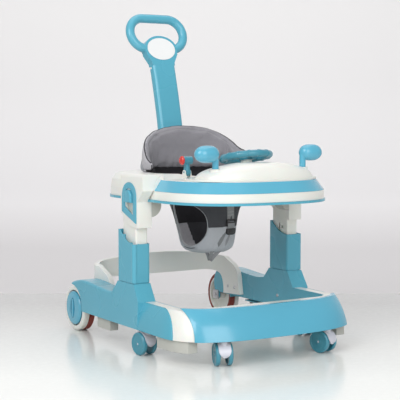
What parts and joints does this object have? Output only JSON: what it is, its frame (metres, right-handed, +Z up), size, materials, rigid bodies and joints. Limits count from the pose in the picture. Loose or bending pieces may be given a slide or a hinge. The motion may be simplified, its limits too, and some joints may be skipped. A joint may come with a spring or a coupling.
{
  "type": "baby walker",
  "caption": "Baby walker with a horseshoe base on twin-wheel casters, height-adjustable columns, a ring with toy tray, a hanging fabric seat, padded backrest and a push handle.",
  "frame": {"origin": "centre of the bounding box on the floor, under the middle of the walker", "axes": "+Z up; -Y is the front, where the toy tray is, and +Y the rear, where the push handle and big wheels are; +X is the seated child's left"},
  "size_m": [0.5704, 0.7426, 0.9289],
  "materials": {
    "teal": "gloss",
    "light_teal": "gloss",
    "cream": "satin gloss",
    "grey_plastic": "satin",
    "white_plastic": "satin gloss",
    "brown_rubber": "matt",
    "red_plastic": "gloss",
    "steel": "zinc plated",
    "silver_plastic": "satin silver",
    "dark_teal": "satin gloss",
    "grey_cream": "satin",
    "seat_fabric": "woven",
    "back_fabric": "woven, padded",
    "webbing": "woven webbing",
    "black_plastic": "satin"
  },
  "bodies": {
    "base": {"arm_left": "teal", "arm_right": "teal", "front_frame": "cream", "front_cover": "light_teal", "arch_bar": "grey_cream", "stop_pads": "grey_plastic", "base_screws": "steel", "column_sleeve_left": "teal", "column_sleeve_right": "teal", "rear_axle_left": "steel", "rear_axle_right": "steel"},
    "upper": {"seat_ring": "cream", "ring_trim": "teal", "tray_band": "light_teal", "handle_socket": "grey_cream", "seat_sling": "seat_fabric", "seat_back": "back_fabric", "crotch_strap": "webbing", "buckle": "black_plastic", "column_tube_left": "cream", "column_tube_right": "cream", "shoulder_left": "cream", "shoulder_right": "cream", "latch_plate_left": "teal", "latch_plate_right": "teal", "ring_bracket_left": "grey_plastic", "ring_bracket_right": "grey_plastic"},
    "handle": {"handle_post": "teal", "handle_loop": "teal", "handle_badge": "white_plastic", "handle_snaps": "white_plastic"},
    "tray": {"toy_tray": "cream"},
    "steering": {"steering_wheel": "dark_teal"},
    "horn": {"horn_button": "red_plastic"},
    "lever": {"gear_lever": "dark_teal", "gear_knob": "red_plastic"},
    "mirror_left": {"mirror_left": "light_teal"},
    "latch_left": {"latch_knob_left": "teal"},
    "rear_wheel_left": {"rear_wheel_left": "cream", "rear_ring_left": "brown_rubber", "hub_cap_left": "light_teal"},
    "mirror_right": {"mirror_right": "light_teal"},
    "latch_right": {"latch_knob_right": "teal"},
    "rear_wheel_right": {"rear_wheel_right": "cream", "rear_ring_right": "brown_rubber", "hub_cap_right": "light_teal"},
    "caster_front_left": {"caster_fork_front_left": "silver_plastic"},
    "caster_front_left_wheels": {"caster_wheels_front_left": "dark_teal"},
    "caster_front_right": {"caster_fork_front_right": "silver_plastic"},
    "caster_front_right_wheels": {"caster_wheels_front_right": "dark_teal"},
    "caster_mid_left": {"caster_fork_mid_left": "silver_plastic"},
    "caster_mid_left_wheels": {"caster_wheels_mid_left": "dark_teal"},
    "caster_mid_right": {"caster_fork_mid_right": "silver_plastic"},
    "caster_mid_right_wheels": {"caster_wheels_mid_right": "dark_teal"}
  },
  "joints": [
    {"name": "height_slide", "type": "slide", "parent": "base", "child": "upper", "axis": [0, 0, 1], "range_m": [-0.036, 0.04]},
    {"name": "handle_lift", "type": "slide", "parent": "upper", "child": "handle", "axis": [0, 0.1687, 0.9857], "range_m": [0, 0.12]},
    {"name": "toy_tray_lift", "type": "slide", "parent": "upper", "child": "tray", "axis": [0, 0, 1], "range_m": [0, 0.05]},
    {"name": "steering_turn", "type": "hinge", "parent": "tray", "child": "steering", "pos_m": [0, -0.1915, 0.517], "axis": [0, 0.1908, 0.9816], "continuous": true},
    {"name": "horn_press", "type": "slide", "parent": "steering", "child": "horn", "axis": [0, -0.1908, -0.9816], "range_m": [0, 0.003], "stiffness_N_per_m": 300, "springref_m": -0.002},
    {"name": "gear_tilt", "type": "hinge", "parent": "tray", "child": "lever", "pos_m": [-0.155, -0.146, 0.478], "axis": [1, 0, 0], "range_deg": [-15, 15]},
    {"name": "mirror_left_turn", "type": "hinge", "parent": "tray", "child": "mirror_left", "pos_m": [0.1374, -0.2573, 0.5], "axis": [0, 0, 1], "range_deg": [-40, 40]},
    {"name": "latch_left_pull", "type": "slide", "parent": "upper", "child": "latch_left", "axis": [0, 0, -1], "range_m": [0, 0.01], "stiffness_N_per_m": 300, "springref_m": -0.003},
    {"name": "rear_wheel_left_spin", "type": "hinge", "parent": "base", "child": "rear_wheel_left", "pos_m": [0.25, 0.3051, 0.066], "axis": [1, 0, 0], "continuous": true},
    {"name": "mirror_right_turn", "type": "hinge", "parent": "tray", "child": "mirror_right", "pos_m": [-0.1374, -0.2573, 0.5], "axis": [0, 0, 1], "range_deg": [-40, 40]},
    {"name": "latch_right_pull", "type": "slide", "parent": "upper", "child": "latch_right", "axis": [0, 0, -1], "range_m": [0, 0.01], "stiffness_N_per_m": 300, "springref_m": -0.003},
    {"name": "rear_wheel_right_spin", "type": "hinge", "parent": "base", "child": "rear_wheel_right", "pos_m": [-0.25, 0.3051, 0.066], "axis": [1, 0, 0], "continuous": true},
    {"name": "caster_front_left_swivel", "type": "hinge", "parent": "base", "child": "caster_front_left", "pos_m": [0.163, -0.3375, 0.07], "axis": [0, 0, 1], "continuous": true},
    {"name": "caster_front_left_roll", "type": "hinge", "parent": "caster_front_left", "child": "caster_front_left_wheels", "pos_m": [0.15924, -0.32402, 0.03], "axis": [-0.9632, -0.2689, 0], "continuous": true},
    {"name": "caster_front_right_swivel", "type": "hinge", "parent": "base", "child": "caster_front_right", "pos_m": [-0.163, -0.3375, 0.07], "axis": [0, 0, 1], "continuous": true},
    {"name": "caster_front_right_roll", "type": "hinge", "parent": "caster_front_right", "child": "caster_front_right_wheels", "pos_m": [-0.15821, -0.32434, 0.03], "axis": [-0.9397, 0.342, 0], "continuous": true},
    {"name": "caster_mid_left_swivel", "type": "hinge", "parent": "base", "child": "caster_mid_left", "pos_m": [0.259, -0.118, 0.07], "axis": [0, 0, 1], "continuous": true},
    {"name": "caster_mid_left_roll", "type": "hinge", "parent": "caster_mid_left", "child": "caster_mid_left_wheels", "pos_m": [0.26046, -0.10408, 0.03], "axis": [-0.9945, 0.1045, 0], "continuous": true},
    {"name": "caster_mid_right_swivel", "type": "hinge", "parent": "base", "child": "caster_mid_right", "pos_m": [-0.259, -0.118, 0.07], "axis": [0, 0, 1], "continuous": true},
    {"name": "caster_mid_right_roll", "type": "hinge", "parent": "caster_mid_right", "child": "caster_mid_right_wheels", "pos_m": [-0.26046, -0.10408, 0.03], "axis": [-0.9945, -0.1045, 0], "continuous": true}
  ]
}
